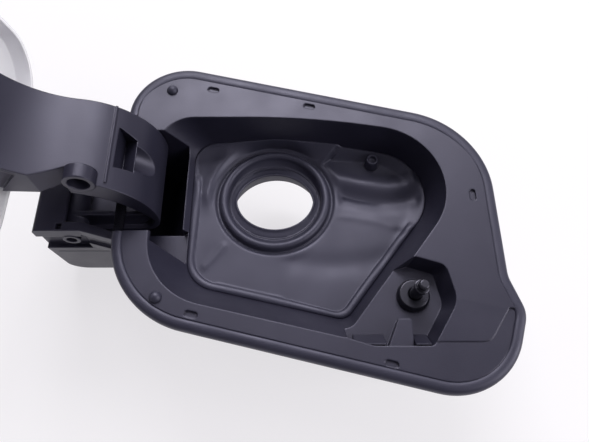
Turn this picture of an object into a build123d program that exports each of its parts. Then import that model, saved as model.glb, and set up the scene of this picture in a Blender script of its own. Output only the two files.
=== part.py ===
from build123d import *
import os
from math import atan2, copysign, cos, degrees, radians, sin, sqrt, tan

# Fuel filler flap of a car: a moulded pot with a sealed flange, a gooseneck arm that carries
# the outer door, a rubber floor with a collar for the filler neck, and a sprung lock pin.
# Millimetres. Origin on the collar axis at the collar's lower mouth, +Z out of the car body,
# +X from the hinge towards the lock, Y along the hinge pin. The door stands open.

# Overlap of cutting bodies, the least corner radius, half a turn
OVER = 1.0
MIN_R = 0.3
HALF_TURN = 180.0

# Filler neck collar
COLLAR_BORE = 58.0
COLLAR_WALL = 1.4
COLLAR_LENGTH = 24.2
COLLAR_DEPTH = 31.8
FLANGE_TOP = COLLAR_LENGTH + COLLAR_DEPTH

# Flange outline, with the soft lip
FLANGE_LEFT = -84.5
FLANGE_RIGHT = 120.0
FLANGE_NEAR = -74.0
FLANGE_SPAN = 158.0
FLANGE_FAR = FLANGE_NEAR + FLANGE_SPAN
FLANGE_RAKE = 13.4
FLANGE_SHARP_R = 32.0
FLANGE_TOE_R = 36.0
FLANGE_BLUNT_R = 52.0
BEAK_OUT = 6.5
BEAK_Y = -75.0
BEAK_ROOT_Y = -56.0
BEAK_SLOPE = 18.4
BEAK_R = 15.0
FLANGE_THICK = 2.5
LIP_WIDTH = 5.5
LIP_DROP = 3.6
LIP_STEP = 0.5
LIP_THICK = 2.0

# Near band of the flange, a step lower, and the sloping pad beside the lock shelf
BAND_DROP = 1.0
BAND_TURN = -50.0
PAD_LINE = [(79.0, -89.4, 0), (106.0, -89.4, 7.0), (117.0, -73.0, 0)]
PAD_CREASE = (92.0, -68.0)
PAD_SLOPE = 1.7

# Basin: mouth corners counter-clockwise, and how far each wall runs in down to the floor
WALL = 2.5
BASIN_DEPTH = 25.0
BASIN_MOUTH = [
    (-66.0, -64.5, 38.0), (40.0, -89.0, 8.0), (124.2, 22.8, 38.7), (20.0, 40.0, 420.0), (-66.0, 40.0, 20.0),
]
BASIN_RUNS = [15.5, 10.5, 4.0, 4.0, 17.5]
BASIN_FLOOR_R = [18.0, 8.0, 28.0, 400.0, 12.0]
SEAT_WIDTH = 4.5
SEAT_THICK = 2.5
SEAT_DEPTH = 3.0

# Rubber floor of the basin
NECK_SHEET = 2.0
BEAD_WIDTH = 3.2
RING_OUT = 35.5
RING_GROOVE = 33.2
RING_GROOVE_DEEP = 1.5
RING_CREST = 30.4
RING_CREST_HALF = 1.3
RING_RISE = 2.4
RING_SOFT = 1.2
MOUTH_LIP_EDGE = (26.7, 23.6)
MOUTH_LIP_EDGE_DROP = 5.2
MOUTH_LIP_HOLE = (22.2, 16.9)
MOUTH_LIP_HOLE_DROP = 6.2
NIPPLE = (57.7, 23.5)
NIPPLE_BASE = 7.4
NIPPLE_TOP = 6.4
NIPPLE_HIGH = 8.0

# Lock shelf beside the basin
SHELF_DEPTH = 12.0
SHELF_DRAFT = 4.5
SHELF_MOUTH = [
    (37.0, -87.5, 2.0), (50.0, -91.5, 10.0), (79.0, -91.5, 3.0), (92.5, -69.0, 14.0),
    (88.5, -50.5, 6.0), (73.5, -46.0, 1.0), (52.0, -52.0, 2.0), (36.0, -74.0, 2.0),
]
SHELF_RUNS = [0.5, 1.0, SHELF_DRAFT, SHELF_DRAFT, 2.0, 0.5, 0.0, 0.0]
TONGUE_LEFT = 56.6
TONGUE_RIGHT = 69.5
TONGUE_TIP = -77.0
TONGUE_TIP_WIDTH = 6.5
TONGUE_DEPTH = 4.5

# Snap hooks and the slots above them: place and direction of the edge they follow
HOOKS = [
    (-36.5, FLANGE_FAR - 24.5, -FLANGE_RAKE), (20.0, FLANGE_FAR - 36.4, -FLANGE_RAKE),
    (FLANGE_RIGHT - 12.5, -10.4, -90.0),
    (57.5, FLANGE_NEAR - 26.0, HALF_TURN - FLANGE_RAKE), (-39.5, FLANGE_NEAR - 2.0, HALF_TURN - FLANGE_RAKE),
]
SLOT_LENGTH = 6.8
SLOT_WIDTH = 3.2
SLOT_DEEP = 1.2
HOOK_LENGTH = 7.0
HOOK_ROOT = 1.2
HOOK_THICK = 1.8
HOOK_DROP = 12.0
HOOK_CATCH = 4.0
HOOK_BARB = 3.0

# Bump stops
STOP_FAR = (FLANGE_LEFT + 24.0, FLANGE_FAR - 25.0)
STOP_NEAR = (FLANGE_LEFT + 26.8, FLANGE_NEAR + 6.7)
STOP_DIA = 6.6
STOP_HEIGHT = 2.8
STOP_STEM = 4.0
STOP_BARB = 5.4
STOP_BARB_HIGH = 2.5
STOP_TIP = 3.0

# Hinge box and pivot
PIVOT_OUT = 28.0
PIVOT_DEEP = 20.0
PIVOT_X = FLANGE_LEFT - PIVOT_OUT
PIVOT_Z = FLANGE_TOP - PIVOT_DEEP
OPEN_ANGLE = 92.0
BOX_NEAR = -22.6
BOX_NEAR_WALL = 5.4
BOX_FAR = 36.0
BOX_BAY = 18.0
THROAT_NEAR = -30.8
THROAT_FAR = 31.0
BOX_LEFT = 18.3
BOX_DROP = 53.5
BOX_RISE = 12.0
BOX_STRIP = 17.3
BOX_REACH = 63.5
BOX_KNEE = 16.0
BOX_TOE = 44.0
BOX_CORNER_R = 11.0
BOX_DRAFT = 3.0
FLARE_FROM = 8.0
FLARE_OUT = 15.2
FLARE_IN = 18.4
FLARE_LOW = -10.0
RECESS_LOW = -12.0
RECESS_HIGH = 4.0
RECESS_DEEP = 3.0
RECESS_FLARE_DEEP = 1.7
RECESS_FLARE_LOW = -5.0
RECESS_FLARE_HIGH = 6.0
LINE_Z = -18.5
LINE_HIGH = 0.8
LINE_DEEP = 0.5
LINE_LEFT = -14.5
STRIP_POCKET = 3.4
STRIP_EDGE = 1.0
PIN_DIA = 6.0
PIN_RUN = 0.05
BOSS_DIA = 9.6
BOSS_LENGTH = 4.5
BOSS_PROUD = 0.3
PIN_SUNK = 2.0
PIN_HEAD_DIA = 9.0
PIN_HEAD = 1.6
CLIP_DIA = 10.0
CLIP_THICK = 0.8
CLIP_MOUTH = 4.0
PIN_GROOVE = 4.6
PIN_CHAMFER = 0.6

# Gooseneck arm, drawn with the door shut, about the pivot
ARM_NEAR = -19.0
ARM_FAR = 29.5
ARM_PLATE = 3.2
ARM_RIB_WIDTH = 2.6
RIB_MID = (26.2, -32.8)
RIB_KNEE = (38.2, -12.8)
RIB_TAIL = (41.0, 20.2)
RIB_END_ANGLE = 143.4
RIB_RECESS = 2.6
RIB_FOOT = (38.6, 20.0)
RIB_BROW = 22.5
NOTCH_FROM = -3.0
NOTCH_TO = 12.0
NOTCH_REACH = 16.0
NOTCH_DEEP = 8.0
NOTCH_LOW = 20.0
NOTCH_HIGH = 80.0
BEND_X = 7.8
BEND_Z = -6.3
BEND_R = 43.3
HEEL_X = -9.0
HEEL_R = 14.0
LEG_R = 50.0
HUB_DIA = 15.0
HUB_GAP = 0.4
HUB_CLEAR = 0.5
BUSH_DIA = 10.0
BUSH_FLANGE = 13.0
BUSH_FLANGE_THICK = 1.2
BUSH_LENGTH = 10.0
TUBE_DIA = 15.7
TUBE_BORE = 11.0
TUBE_LENGTH = 7.5
TUBE_PROUD = 0.5
TUBE_ANGLE = -20.0
TUBE_SINK = 1.0
POCKET = [(32.2, -6.3), (40.4, -5.0), (44.1, 12.5), (32.4, 17.8)]
POCKET_FROM = -39.5
POCKET_TO = -54.5
POCKET_DEEP = 9.0
POCKET_WALL = 2.0
SCOOP_TO = -73.0
SCOOP_R = 7.6
SCOOP_DEEP = 6.0
SCOOP_Y = 3.8
RIDGE_ANGLE = -36.5
RIDGE_SPAN = 1.6
RIDGE_HIGH = 0.8
CARRIER_LENGTH = 46.0
CARRIER_SIDE = 6.0
CARRIER_R = 6.0

# Spring on the hub
SPRING_WIRE = 1.2
SPRING_GAP = 0.5
SPRING_TURNS = 2.5
SPRING_END = 0.5
SPRING_LEG = 9.0
SPRING_TURN = 90.0

# Door panel
DOOR_INSET = 9.0
DOOR_HINGE_INSET = 3.0
DOOR_GAP = 8.0
DOOR_SKIN = 2.2
DOOR_BOSS = 3.0
DOOR_RIM = 8.6
DOOR_RIM_WALL = 2.2
DOOR_EDGE_R = 1.4
DOOR_RIB = 1.8
DOOR_RIB_HIGH = 2.0
DOOR_RIBS_X = [-45.0, 55.0]
DOOR_RIBS_Y = [-45.0, 5.5]
DOOR_BOSS_DIA = 9.0
SCREW_DIA = 3.0
SCREW_HEAD = 6.4
SCREW_HEAD_HIGH = 2.2
SCREW_LENGTH = 5.4
SCREW_INSET = 7.0
SCREW_PLAY = 0.2
SCREW_SOCKET = 2.6
SCREW_SOCKET_DEEP = 1.2
BUFFER_DIA = 8.0
BUFFER_LIFT = 0.6
BUFFERS = [(FLANGE_RIGHT - 20.0, -5.0), (FLANGE_RIGHT - 17.5, -36.0)]

# Lock
LOCK_X = 72.6
LOCK_Y = -63.5
LOCK_LEAN = 6.0
LOCK_PIN_DIA = 6.4
LOCK_PIN_RUN = 0.05
LOCK_TRAVEL = 8.0
PIN_REACH = 20.5
COLLAR_DIA = 7.6
BUTTON_DIA = 5.4
PIN_NECK_DIA = 4.4
COLLAR_LOW = 14.0
COLLAR_TOP = 16.5
BUTTON_LOW = 17.5
PIN_ROUND = 0.6
PIN_STOP_DIA = 9.4
PIN_TAIL = 26.0
PIN_STOP_THICK = 2.0
CHAMBER_GAP = 0.5
CHAMBER_LIFT = 0.1
PIN_SPRING_SHUT = 10.0
CHAMBER_SPRING = LOCK_TRAVEL + PIN_SPRING_SHUT
GROMMET_DIA = 17.0
GROMMET_HIGH = 4.6
GROMMET_CLEAR = 0.3
NECK_DIA = 13.0
NECK_CLEAR = 0.2
NECK_RISE = 2.4
NECK_SHOULDER = 18.0
CASE_TURN = 53.0
CASE_OFFSET = 8.5
CASE_WIDE = 40.0
CASE_LONG = 44.0
CASE_R = 5.0
CASE_BOTTOM = -6.0
MOTOR_DIA = 28.0
MOTOR_R = 2.0
MOTOR_AT = (-4.0, -6.0)
COVER_DROP = 3.5
COVER_THICK = 5.0
COVER_LAP = 1.5
LOCK_SCREW_INSET = 5.0
LOCK_SCREW_LENGTH = 12.0
PLUG_WIDE = 16.0
PLUG_HIGH = 10.4
PLUG_LONG = 9.0
PLUG_WALL = 1.6
PLUG_AT = (11.0, 15.5)
PIN_SPRING_WIRE = 0.9
PIN_SPRING_TURNS = 6
STRIKER_LONG = 21.0
STRIKER_WIDE = 16.0
STRIKER_WALL = 2.2
STRIKER_BASE = 2.0
STRIKER_DROP = 9.0
STRIKER_R = 3.0
STRIKER_LIP = 1.8
STRIKER_SLOT = 14.0
STRIKER_SLOT_WIDE = 9.6


def rake_y(at_left, x):
    """Height in Y of a raked edge of the flange at x."""
    return at_left - (x - FLANGE_LEFT) * tan(radians(FLANGE_RAKE))


def flange_corners():
    """Corners (x, y, radius) of the flange with its lip, counter-clockwise."""
    fall = tan(radians(FLANGE_RAKE))
    lean = tan(radians(BEAK_SLOPE))
    tip_x = FLANGE_RIGHT + BEAK_OUT
    drop = (BEAK_Y - rake_y(FLANGE_NEAR, tip_x)) / (1 + fall * lean)
    toe_x = tip_x - drop * lean
    return [
        (FLANGE_LEFT, FLANGE_NEAR, FLANGE_BLUNT_R),
        (toe_x, rake_y(FLANGE_NEAR, toe_x), FLANGE_TOE_R),
        (tip_x, BEAK_Y, BEAK_R),
        (FLANGE_RIGHT, BEAK_ROOT_Y, BEAK_R),
        (FLANGE_RIGHT, rake_y(FLANGE_FAR, FLANGE_RIGHT), FLANGE_BLUNT_R),
        (FLANGE_LEFT, FLANGE_FAR, FLANGE_SHARP_R),
    ]


def inset(corners, distances, radii=None):
    """Corners moved in, each edge by its own distance, with the corner radii kept in step."""
    count = len(corners)
    steps = distances if isinstance(distances, list) else [distances] * count
    moved = []
    for i, (x, y, r) in enumerate(corners):
        here = Vector(x, y)
        before = (here - Vector(*corners[i - 1][:2])).normalized()
        after = (Vector(*corners[(i + 1) % count][:2]) - here).normalized()
        n1 = Vector(-before.Y, before.X)
        n2 = Vector(-after.Y, after.X)
        d1 = steps[i - 1]
        d2 = steps[i]
        k = n1.dot(n2)
        step = (n1 * (d1 - k * d2) + n2 * (d2 - k * d1)) * (1 / (1 - k * k))
        turn = before.X * after.Y - before.Y * after.X
        radius = radii[i] if radii else max(r - copysign((d1 + d2) / 2, turn), MIN_R)
        moved.append((x + step.X, y + step.Y, radius))
    return moved


def outline(corners, height):
    """Flat face with rounded corners at a height."""
    points = [(x, y) for x, y, _ in corners]
    radii = [r for _, _, r in corners]
    return Pos(0, 0, height) * make_face(FilletPolyline(*points, radius=radii, close=True))


def slab(corners, bottom, top):
    """Plate with a rounded outline between two heights."""
    return extrude(outline(corners, bottom), amount=top - bottom, dir=(0, 0, 1))


def taper(upper, lower, top, bottom):
    """Drafted block between two rounded outlines."""
    return loft([outline(upper, top), outline(lower, bottom)])


def block(x0, x1, y0, y1, z0, z1):
    """Box between two corners."""
    return Pos((x0 + x1) / 2, (y0 + y1) / 2, (z0 + z1) / 2) * Box(x1 - x0, y1 - y0, z1 - z0)


def across(profile, near, far):
    """Profile drawn in X and Z about the pivot, drawn out along the hinge from near to far."""
    face = Pos(PIVOT_X, near, PIVOT_Z) * (Plane.XZ * profile)
    return extrude(face, amount=far - near, dir=(0, 1, 0))


def rod(diameter, near, far, x=0.0, z=0.0):
    """Round bar along the hinge direction, placed about the pivot."""
    return across(Pos(x, z) * Circle(diameter / 2), near, far)


def rounded(corners):
    """Profile with rounded corners, for the hinge direction."""
    points = [(x, z) for x, z, _ in corners]
    return make_face(FilletPolyline(*points, radius=[r for _, _, r in corners], close=True))


def swung_open(shape):
    """A door piece drawn shut, swung to the open rest position."""
    return Pos(PIVOT_X, 0, PIVOT_Z) * Rot(0, -OPEN_ANGLE, 0) * Pos(-PIVOT_X, 0, -PIVOT_Z) * shape


def turned(points):
    """Solid of revolution about Z from radius and height points."""
    return revolve(Plane.XZ * make_face(Polyline(*points, close=True)), Axis.Z)


FLANGE = flange_corners()
FLANGE_HARD = inset(FLANGE, LIP_WIDTH)
BASIN_FLOOR = inset(BASIN_MOUTH, BASIN_RUNS, BASIN_FLOOR_R)
SHELF_FLOOR = inset(SHELF_MOUTH, SHELF_RUNS)
FLANGE_UNDER = FLANGE_TOP - FLANGE_THICK
FLOOR_Z = FLANGE_TOP - BASIN_DEPTH
SEAT_TOP = FLOOR_Z - SEAT_DEPTH
SEAT_UNDER = SEAT_TOP - SEAT_THICK
SHELF_TOP = FLANGE_TOP - SHELF_DEPTH
SHELF_UNDER = SHELF_TOP - WALL
BASE_Z = PIVOT_Z - BOX_DROP
DOOR_FACE = FLANGE_TOP + DOOR_GAP
SKIN_UNDER = DOOR_FACE + DOOR_BOSS
BOX_OUT_NEAR = BOX_NEAR - BOX_NEAR_WALL
BOX_OUT_FAR = BOX_FAR + WALL
ON_BASE = (Align.CENTER, Align.CENTER, Align.MIN)

# Derived places of the hub, the gooseneck's curves, the door and the lock case
HUB_NEAR = BOX_NEAR + CLIP_THICK + HUB_GAP + BUSH_FLANGE_THICK
HUB_FAR = BOX_FAR - HUB_GAP - BUSH_FLANGE_THICK
DOOR_RISE = DOOR_FACE - PIVOT_Z
HEEL_Z = BEND_Z - sqrt((BEND_R - HEEL_R) ** 2 - (HEEL_X + HEEL_R - BEND_X) ** 2)
HEEL_ANGLE = degrees(atan2(HEEL_Z - BEND_Z, HEEL_X + HEEL_R - BEND_X))
LEG_Z = DOOR_RISE - ARM_PLATE - LEG_R
LEG_X = BEND_X + sqrt((BEND_R + LEG_R) ** 2 - (LEG_Z - BEND_Z) ** 2)
LEG_ANGLE = degrees(atan2(LEG_Z - BEND_Z, LEG_X - BEND_X))
DOOR = inset(FLANGE, [DOOR_INSET] * (len(FLANGE) - 1) + [DOOR_HINGE_INSET])
COVER_TOP = SHELF_UNDER - COVER_DROP
CASE_TOP = COVER_TOP - COVER_THICK


def basin_void():
    """Space inside the basin, open at the flange."""
    mouth = slab(BASIN_MOUTH, FLANGE_TOP, FLANGE_TOP + OVER)
    return mouth + taper(BASIN_MOUTH, BASIN_FLOOR, FLANGE_TOP, FLOOR_Z) + slab(BASIN_FLOOR, SEAT_TOP, FLOOR_Z)


def basin_shell():
    """Outside of the basin walls, down to the seat of the rubber floor."""
    mouth = inset(BASIN_MOUTH, -WALL)
    floor = inset(BASIN_FLOOR, -WALL)
    return taper(mouth, floor, FLANGE_UNDER, FLOOR_Z) + slab(floor, SEAT_UNDER, FLOOR_Z)


def shelf_void():
    """Drafted recess above the lock shelf."""
    mouth = slab(SHELF_MOUTH, FLANGE_TOP, FLANGE_TOP + OVER)
    return mouth + taper(SHELF_MOUTH, SHELF_FLOOR, FLANGE_TOP, SHELF_TOP)


def hinge_outside():
    """Outside profile of the hinge box about the pivot."""
    under = FLANGE_UNDER - PIVOT_Z
    step = FLANGE_LEFT + LIP_WIDTH - PIVOT_X
    return rounded([
        (-BOX_LEFT, -BOX_DROP, BOX_CORNER_R), (BOX_TOE, -BOX_DROP, BOX_CORNER_R),
        (BOX_REACH, -BOX_KNEE, BOX_CORNER_R / 3), (BOX_REACH, under, 0), (step, under, 0),
        (step, BOX_RISE, 0), (-BOX_LEFT, BOX_RISE, WALL + MIN_R),
    ])


def hinge_inside():
    """Inside profile of the hinge box, open upwards past the flange."""
    above = FLANGE_TOP - PIVOT_Z + DOOR_GAP
    return rounded([
        (WALL - BOX_LEFT, WALL - BOX_DROP, BOX_CORNER_R - WALL),
        (BOX_TOE - WALL, WALL - BOX_DROP, BOX_CORNER_R - WALL),
        (BOX_REACH - WALL, -BOX_KNEE, BOX_CORNER_R / 3), (BOX_REACH - WALL, above, 0),
        (BOX_STRIP - BOX_LEFT, above, 0), (BOX_STRIP - BOX_LEFT, BOX_RISE - WALL, 0),
        (WALL - BOX_LEFT, BOX_RISE - WALL, MIN_R),
    ])


def box_span(profile, near, bay, far, throat_far):
    """Profile across the hinge box, wider on the far side where the spring lies."""
    reach = 4 * BOX_DROP
    left = profile & Pos(bay - reach / 2, 0) * Rectangle(reach, reach)
    return across(profile, near, throat_far) + across(left, near, far)


def near_wedge(at_left, at_right, low, high):
    """Wedge on the near side of the hinge box that widens towards the basin, between two heights."""
    x0 = PIVOT_X + FLARE_FROM
    x1 = PIVOT_X + BOX_REACH
    plan = Polyline((x0, at_left), (x1, at_right), (x1, BOX_NEAR + OVER), (x0, BOX_NEAR + OVER), close=True)
    return extrude(Pos(0, 0, PIVOT_Z + low) * make_face(plan), amount=high - low, dir=(0, 0, 1))


def near_relief():
    """Cuts in the near face of the hinge box: draft, boss recess, shadow line and strip pocket."""
    x0 = PIVOT_X - BOX_LEFT - OVER
    flare_x = PIVOT_X + FLARE_FROM
    edge_x = FLANGE_LEFT + LIP_WIDTH
    out = BOX_OUT_NEAR - OVER
    draft_top = PIVOT_Z + RECESS_LOW
    slope = Polyline((out, draft_top), (BOX_OUT_NEAR, draft_top), (BOX_OUT_NEAR + BOX_DRAFT, BASE_Z),
                     (BOX_OUT_NEAR + BOX_DRAFT, BASE_Z - OVER), (out, BASE_Z - OVER), close=True)
    cut = extrude(Pos(x0, 0, 0) * (Plane.YZ * make_face(slope)), amount=4 * BOX_DROP, dir=(1, 0, 0))
    cut += block(x0, flare_x, out, BOX_OUT_NEAR + RECESS_DEEP, draft_top, PIVOT_Z + RECESS_HIGH)
    fall = (RECESS_LOW - LINE_Z) / (BOX_DROP + RECESS_LOW) * BOX_DRAFT
    line_y = BOX_OUT_NEAR + fall + LINE_DEEP
    line_z = PIVOT_Z + LINE_Z
    cut += block(PIVOT_X + LINE_LEFT, edge_x, out, line_y, line_z, line_z + LINE_HIGH)
    strip_x = PIVOT_X + BOX_STRIP - BOX_LEFT - STRIP_EDGE
    strip_y = BOX_NEAR - STRIP_EDGE
    rise = PIVOT_Z + BOX_RISE
    size = STRIP_POCKET
    cut += block(strip_x - size, strip_x, strip_y - size, strip_y, rise - size, rise + OVER)
    return cut + flare_groove(edge_x)


def flare_groove(edge_x):
    """Shallow groove along the flared part of the near face, up to the flange."""
    run = (edge_x - PIVOT_X - FLARE_FROM) / (BOX_REACH - FLARE_FROM) * FLARE_OUT
    x0 = PIVOT_X + FLARE_FROM - OVER
    out = BOX_OUT_NEAR
    plan = Polyline((x0, out - OVER), (edge_x, out - run - OVER), (edge_x, out - run + RECESS_FLARE_DEEP),
                    (x0, out + RECESS_FLARE_DEEP), close=True)
    high = RECESS_FLARE_HIGH - RECESS_FLARE_LOW
    return extrude(Pos(0, 0, PIVOT_Z + RECESS_FLARE_LOW) * make_face(plan), amount=high, dir=(0, 0, 1))


def hinge_box():
    """Outside of the hinge box with its flared near wall, relief and pivot bosses."""
    outside = hinge_outside()
    box = box_span(outside, BOX_OUT_NEAR, BOX_BAY + WALL, BOX_OUT_FAR, THROAT_FAR + WALL)
    top = FLANGE_TOP - PIVOT_Z
    flare = near_wedge(BOX_OUT_NEAR, BOX_OUT_NEAR - FLARE_OUT, FLARE_LOW, top)
    box += flare & across(outside, BOX_OUT_NEAR - 2 * FLARE_OUT, 0)
    box -= near_relief()
    box += rod(BOSS_DIA, BOX_OUT_NEAR - BOSS_PROUD, BOX_NEAR)
    return box + rod(BOSS_DIA, BOX_OUT_FAR, BOX_OUT_FAR + BOSS_LENGTH)


def hinge_void():
    """Room for the arm in the hinge box, and its way out through the flange and the basin's wall."""
    under = FLANGE_UNDER - PIVOT_Z
    void = box_span(hinge_inside(), BOX_NEAR, BOX_BAY, BOX_FAR, THROAT_FAR)
    void += near_wedge(BOX_NEAR, BOX_NEAR - FLARE_IN, FLARE_LOW + WALL, under)
    mouth_x = BASIN_MOUTH[0][0] + WALL
    top = FLANGE_TOP + OVER
    return void + block(FLANGE_LEFT - OVER, mouth_x, THROAT_NEAR, THROAT_FAR, FLANGE_UNDER - OVER, top)


def hook(x, y, turn):
    """Snap hook below a slot in the flange, on a thick root, its barb facing outwards."""
    foot = FLANGE_UNDER - HOOK_DROP
    back = -SLOT_WIDTH / 2
    side = SLOT_LENGTH / 2 + HOOK_ROOT
    root = block(-side, side, back - HOOK_THICK, -back + HOOK_ROOT, FLANGE_UNDER - HOOK_ROOT, FLANGE_UNDER)
    leg = block(-HOOK_LENGTH / 2, HOOK_LENGTH / 2, back - HOOK_THICK, back, foot, FLANGE_UNDER)
    catch = FLANGE_UNDER - HOOK_CATCH
    wedge = make_face(Polyline((back, catch), (back + HOOK_BARB, catch - MIN_R), (back, foot), close=True))
    barb = extrude(Pos(-HOOK_LENGTH / 2, 0, 0) * (Plane.YZ * wedge), amount=HOOK_LENGTH, dir=(1, 0, 0))
    return Pos(x, y, 0) * Rot(0, 0, turn) * (root + leg + barb)


def band_cut():
    """Thin layer off the near side of the flange, up to the hinge throat and the pad."""
    reach = 2 * FLANGE_RIGHT
    around = [(-reach, THROAT_NEAR, 0), (-reach, -reach, 0), (reach, -reach, 0), (reach, PAD_LINE[-1][1], 0)]
    plan = [*around, *reversed(PAD_LINE), (BAND_TURN, THROAT_NEAR, 0)]
    return slab(plan, FLANGE_TOP - BAND_DROP, FLANGE_TOP + OVER)


def pad_cut():
    """Thin wedge off the pad, which slopes down from a crease towards the near band."""
    reach = 2 * FLANGE_RIGHT
    wedge = Pos(0, -reach / 2, reach / 2) * Box(reach, reach, reach)
    wedge = Pos(*PAD_CREASE, FLANGE_TOP) * Rot(0, 0, -FLANGE_RAKE) * Rot(PAD_SLOPE, 0, 0) * wedge
    return wedge & slab([*PAD_LINE, (*PAD_CREASE, 0)], FLANGE_UNDER, FLANGE_TOP + OVER)


def slot(x, y, turn):
    """Shallow slot with round ends in the flange above a hook."""
    top = FLANGE_TOP - BAND_DROP if y < THROAT_NEAR else FLANGE_TOP
    face = Pos(x, y, top - SLOT_DEEP) * Rot(0, 0, turn) * SlotOverall(SLOT_LENGTH, SLOT_WIDTH)
    return extrude(face, amount=SLOT_DEEP + BAND_DROP + OVER, dir=(0, 0, 1))


def tongue():
    """Tapered tongue that stands on the lock shelf and runs out from the near wall."""
    base_y = SHELF_MOUTH[1][1] - OVER
    tip_left = TONGUE_RIGHT - TONGUE_TIP_WIDTH
    base = [(TONGUE_LEFT, base_y), (TONGUE_RIGHT, base_y)]
    points = base + [(TONGUE_RIGHT, TONGUE_TIP), (tip_left, TONGUE_TIP)]
    return slab([(x, y, MIN_R) for x, y in points], SHELF_UNDER, FLANGE_TOP - TONGUE_DEPTH)


def housing():
    """Moulded pot: flange, basin, lock shelf, hinge box, pivot bosses, hooks and slots."""
    body = slab(FLANGE_HARD, FLANGE_UNDER, FLANGE_TOP) + basin_shell()
    body += slab(inset(SHELF_MOUTH, -WALL), SHELF_UNDER, FLANGE_UNDER)
    body += hinge_box()
    body -= basin_void() + shelf_void()
    body -= slab(inset(BASIN_FLOOR, SEAT_WIDTH), SEAT_UNDER - OVER, SEAT_TOP + OVER)
    body -= hinge_void()
    body -= rod(PIN_DIA, BOX_OUT_NEAR - 2 * BOSS_LENGTH, BOX_OUT_FAR + 2 * BOSS_LENGTH)
    body += tongue()
    for place in HOOKS:
        body -= slot(*place)
        body += hook(*place)
    body -= band_cut() + pad_cut()
    for x, y in (STOP_FAR, STOP_NEAR):
        body -= Pos(x, y, FLANGE_TOP) * Cylinder(STOP_STEM / 2, 2 * FLANGE_THICK + OVER)
    return body - Pos(LOCK_X, LOCK_Y, SHELF_TOP) * Cylinder(NECK_DIA / 2 + NECK_CLEAR, 4 * WALL)


def rim_seal():
    """Soft lip round the flange, sloping outwards and down, cut away where the arm passes."""
    top = FLANGE_TOP - LIP_STEP
    edge = top - LIP_DROP
    roof = taper(FLANGE_HARD, FLANGE, top, edge) + slab(FLANGE, edge - LIP_THICK, edge)
    lip = roof - Pos(0, 0, -LIP_THICK) * roof - slab(FLANGE_HARD, BASE_Z, FLANGE_TOP + OVER)
    gap = block(FLANGE_LEFT - LIP_WIDTH, 0, THROAT_NEAR, THROAT_FAR, FLANGE_TOP - 4 * LIP_DROP, FLANGE_TOP)
    return lip - gap


def neck_seal():
    """Rubber floor of the basin with its edge bead, round bead, oval lip, collar and nipple."""
    sheet = FLOOR_Z - SEAT_DEPTH
    floor = slab(BASIN_FLOOR, sheet, sheet + NECK_SHEET)
    inside = slab(inset(BASIN_FLOOR, BEAD_WIDTH), sheet - OVER, FLOOR_Z + OVER)
    edge = slab(BASIN_FLOOR, sheet, FLOOR_Z) - inside
    floor -= Pos(0, 0, sheet) * Cylinder(RING_OUT, 4 * NECK_SHEET)
    crest = sheet + NECK_SHEET + RING_RISE
    ring = revolve(Plane.XZ * neck_section(sheet, crest), Axis.Z) - lip_void(crest)
    ring &= slab(inset(BASIN_FLOOR, SEAT_WIDTH), -OVER, sheet) + slab(BASIN_FLOOR, sheet, FLANGE_TOP)
    cone = Cone(NIPPLE_BASE / 2, NIPPLE_TOP / 2, NIPPLE_HIGH, align=ON_BASE)
    return floor + edge + ring + Pos(*NIPPLE, sheet) * cone


def neck_section(sheet, crest):
    """Half section of the round bead with its groove, the collar below, and the lip still closed."""
    top = sheet + NECK_SHEET
    groove = top - RING_GROOVE_DEEP
    under = groove - NECK_SHEET
    bore = COLLAR_BORE / 2
    skirt = bore + COLLAR_WALL
    return rounded([
        (RING_OUT, top, 0), (RING_GROOVE, groove, RING_SOFT),
        (RING_CREST + RING_CREST_HALF, crest, RING_SOFT), (0, crest, 0), (0, COLLAR_LENGTH, 0),
        (bore, COLLAR_LENGTH, 0), (bore, 0, 0), (skirt, 0, 0),
        (skirt, under, MIN_R), (RING_GROOVE, under, MIN_R), (RING_OUT, sheet, 0),
    ])


def lip_void(crest):
    """Space above the oval lip, from the round bead down to the hole and through it."""
    hole = Ellipse(*MOUTH_LIP_HOLE)
    hole_z = crest - MOUTH_LIP_HOLE_DROP
    edge = Pos(0, 0, crest - MOUTH_LIP_EDGE_DROP) * Ellipse(*MOUTH_LIP_EDGE)
    bowl = loft([edge, Pos(0, 0, crest) * Circle(RING_CREST - RING_CREST_HALF)], ruled=True)
    throat = loft([Pos(0, 0, hole_z) * hole, edge], ruled=True)
    drop = hole_z - COLLAR_LENGTH + OVER
    return bowl + throat + extrude(Pos(0, 0, hole_z - drop) * hole, amount=drop, dir=(0, 0, 1))


def bump_stop(x, y, top):
    """Domed rubber button with a barbed stem through the flange."""
    radius = STOP_DIA / 2
    ball = (radius * radius + STOP_HEIGHT * STOP_HEIGHT) / (2 * STOP_HEIGHT)
    crown = Pos(0, 0, STOP_HEIGHT - ball) * Sphere(ball)
    dome = crown & block(-ball, ball, -ball, ball, 0, ball)
    grip = top - FLANGE_UNDER
    stem = Pos(0, 0, -grip) * Cylinder(STOP_STEM / 2, grip, align=ON_BASE)
    barb = Cone(STOP_TIP / 2, STOP_BARB / 2, STOP_BARB_HIGH, align=ON_BASE)
    return Pos(x, y, top) * (dome + stem + Pos(0, 0, -grip - STOP_BARB_HIGH) * barb)


def hinge_pin():
    """Pivot pin headed at its far end, its plain end sunk in the near boss, grooved for its clip."""
    near = BOX_OUT_NEAR + PIN_SUNK
    far = BOX_OUT_FAR + BOSS_LENGTH
    pin = chamfer(rod(PIN_DIA, near, far).edges().sort_by(Axis.Y)[0], PIN_CHAMFER)
    clip_far = BOX_NEAR + CLIP_THICK
    groove = rod(PIN_DIA + OVER, BOX_NEAR, clip_far) - rod(PIN_GROOVE, BOX_NEAR, clip_far)
    return pin - groove + rod(PIN_HEAD_DIA, far, far + PIN_HEAD)


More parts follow.
